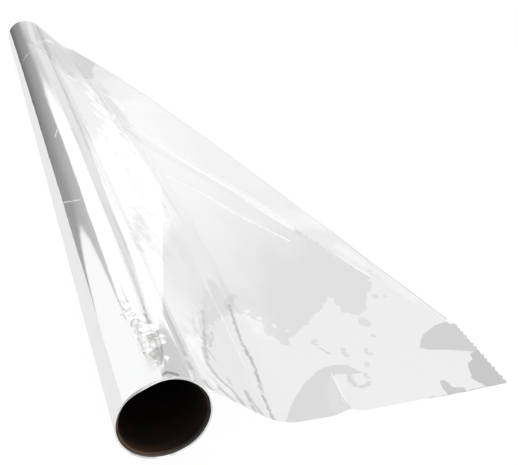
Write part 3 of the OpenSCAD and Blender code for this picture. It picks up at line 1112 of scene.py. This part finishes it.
# the crumple's grey is painted shade over its real relief
crumpled = put_patch(
    tree, unrolled, 1.0, 20.0, 4.2, 15.0, turn_deg=10.0, wobble=1.5, softness=0.3
)
right_near = sums(tree, "MULTIPLY_ADD", along_roll, 0.072, 0.0014)
right_far = sums(tree, "MULTIPLY_ADD", along_roll, -0.045, 0.0150)
right_side = highest(tree, sums(tree, "MINIMUM", right_near, right_far), 0.0052)
past_right = sums(tree, "SUBTRACT", round_roll, right_side)
# a grey streak of painted reflection
reflection_streak = product(
    tree,
    ramp_up(tree, round_roll, 0.0038, 0.0049),
    ramp_up(tree, past_right, 0.0016, -0.0016),
    ramp_up(tree, along_roll, 0.036, 0.040),
    ramp_up(tree, along_roll, 0.46, 0.15),
)
# a matt white strip of painted light beside the mouth
painted_light_strip = product(
    tree,
    ramp_up(tree, round_roll, 0.0125, 0.0136),
    ramp_up(tree, round_roll, 0.034, 0.030),
    ramp_up(tree, along_roll, 0.12, 0.07),
)
silver_mix = drawn_out(tree, place, (60.0, 7.0, 60.0), 3.0)
colour = blend_colours(tree, silver_mix, *SILVERS)
for mask, tint in (
    (product(tree, reflection_streak, 0.75), REFLECTION_STREAK_GREY),
    (draw_lines(tree, unrolled, REFLECTION_LINE), REFLECTION_LINE_GREY),
    (product(tree, crumpled, 0.5), CRUMPLE_SHADE_GREY),
    (draw_lines(tree, rough_place, SQUIGGLES), SQUIGGLE_SHADE_GREY),
    (draw_lines(tree, rough_place, GLINTS), WHITE),
    (painted_light_strip, MATT_PAINTED_WHITE),
):
    colour = blend_colours(tree, mask, colour, tint)
tree.links.new(colour, shader.inputs["Base Color"])
matt = highest(tree, draw_lines(tree, rough_place, LAPS), painted_light_strip)
shine = between(tree, matt, 0.0, 1.0, METALLIC, MATT_METALLIC)
tree.links.new(shine, shader.inputs["Metallic"])
shader.inputs["Roughness"].default_value = 0.06
grain = drawn_out(tree, place, (250.0, 30.0, 250.0), 2.0)
crumple = product(tree, add_noise(tree, unrolled, 420.0, 3.0).outputs["Fac"], crumpled)
height = sums(tree, "MULTIPLY_ADD", crumple, 5.0, grain)
bump = add_node(tree, "ShaderNodeBump", Height=height, Strength=0.10, Distance=0.0006)
tree.links.new(bump.outputs[0], shader.inputs["Normal"])
print("wound film material ready")

# %% Wound turns
TURN_SIDES = 180
END_TURNS = 10
SAG = 0.09
PUSHED_OUT, PUSHED_AT, PUSHED_WIDTH = 1.2, -7.0, 7.0
angles = np.arange(TURN_SIDES) * 2 * math.pi / TURN_SIDES
draw = np.random.default_rng(5)
stations = np.concatenate([np.linspace(0.5, 70, 110), np.linspace(73, FILM_W - 0.5, 150)])
steps = np.linspace(OUTER_R, INNER_R, 2 * END_TURNS)
hollow = np.repeat(draw.uniform(0.05, 0.4, END_TURNS), 2)
hollow[:2] = 0.0
near_end = [(r, h) for r, h in zip(steps[::-1], hollow[::-1])]
far_end = [(r, FILM_W - h) for r, h in zip(steps, hollow)]
inside = [(INNER_R, y) for y in np.linspace(FILM_W - 1, 1, 20)]
profile = np.array(near_end + [(OUTER_R, y) for y in stations] + far_end + inside)
wound_points = turned(np.concatenate([profile, profile[:1]]), angles)
first = len(near_end)
y = stations[:, None]
arc = OUTER_R * angles[None, :]
sag = 0.5 + 0.5 * np.sin(3 * angles[None, :] + 1.1 * np.sin(2 * math.pi * y / 310.0) + 0.8)
sag = sag + 0.6 * np.sin(2 * angles[None, :] + 2 * math.pi * y / 520.0)
sag = np.clip(sag / 1.6, 0, 1) * SAG
signed_arc = np.where(arc > math.pi * OUTER_R, arc - 2 * math.pi * OUTER_R, arc)
pushed_out = PUSHED_OUT * np.exp(-(((signed_arc - PUSHED_AT) / PUSHED_WIDTH) ** 2))
wound_points[:first, :, 1] -= pushed_out
near_mouth = np.exp(-(((signed_arc - 1.5) / 4.5) ** 2) - ((y - 22.0) / 13.0) ** 2)
tails = np.exp(-(((signed_arc + 1.0) / 4.0) ** 2) - ((y - 48.0) / 9.0) ** 2)
crumple_height = near_mouth * (0.22 + 0.26 * waves(signed_arc, 0.7 * y, 8, 9.0, 3.0, 8))
crumple_height = crumple_height + tails * 0.10 * (1 + waves(signed_arc, y, 6, 8.0, 3.0, 9))
r = OUTER_R - sag + np.maximum(crumple_height, 0)
wound_points[first:first + len(stations)] = np.stack(
    [r * np.sin(angles), y + 0 * r, r * np.cos(angles)], axis=-1
)
wound_turns = grid_piece("wound_turns", wound_points, wound, closed=True)
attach(wound_turns, "root")
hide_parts("film")
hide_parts("film")
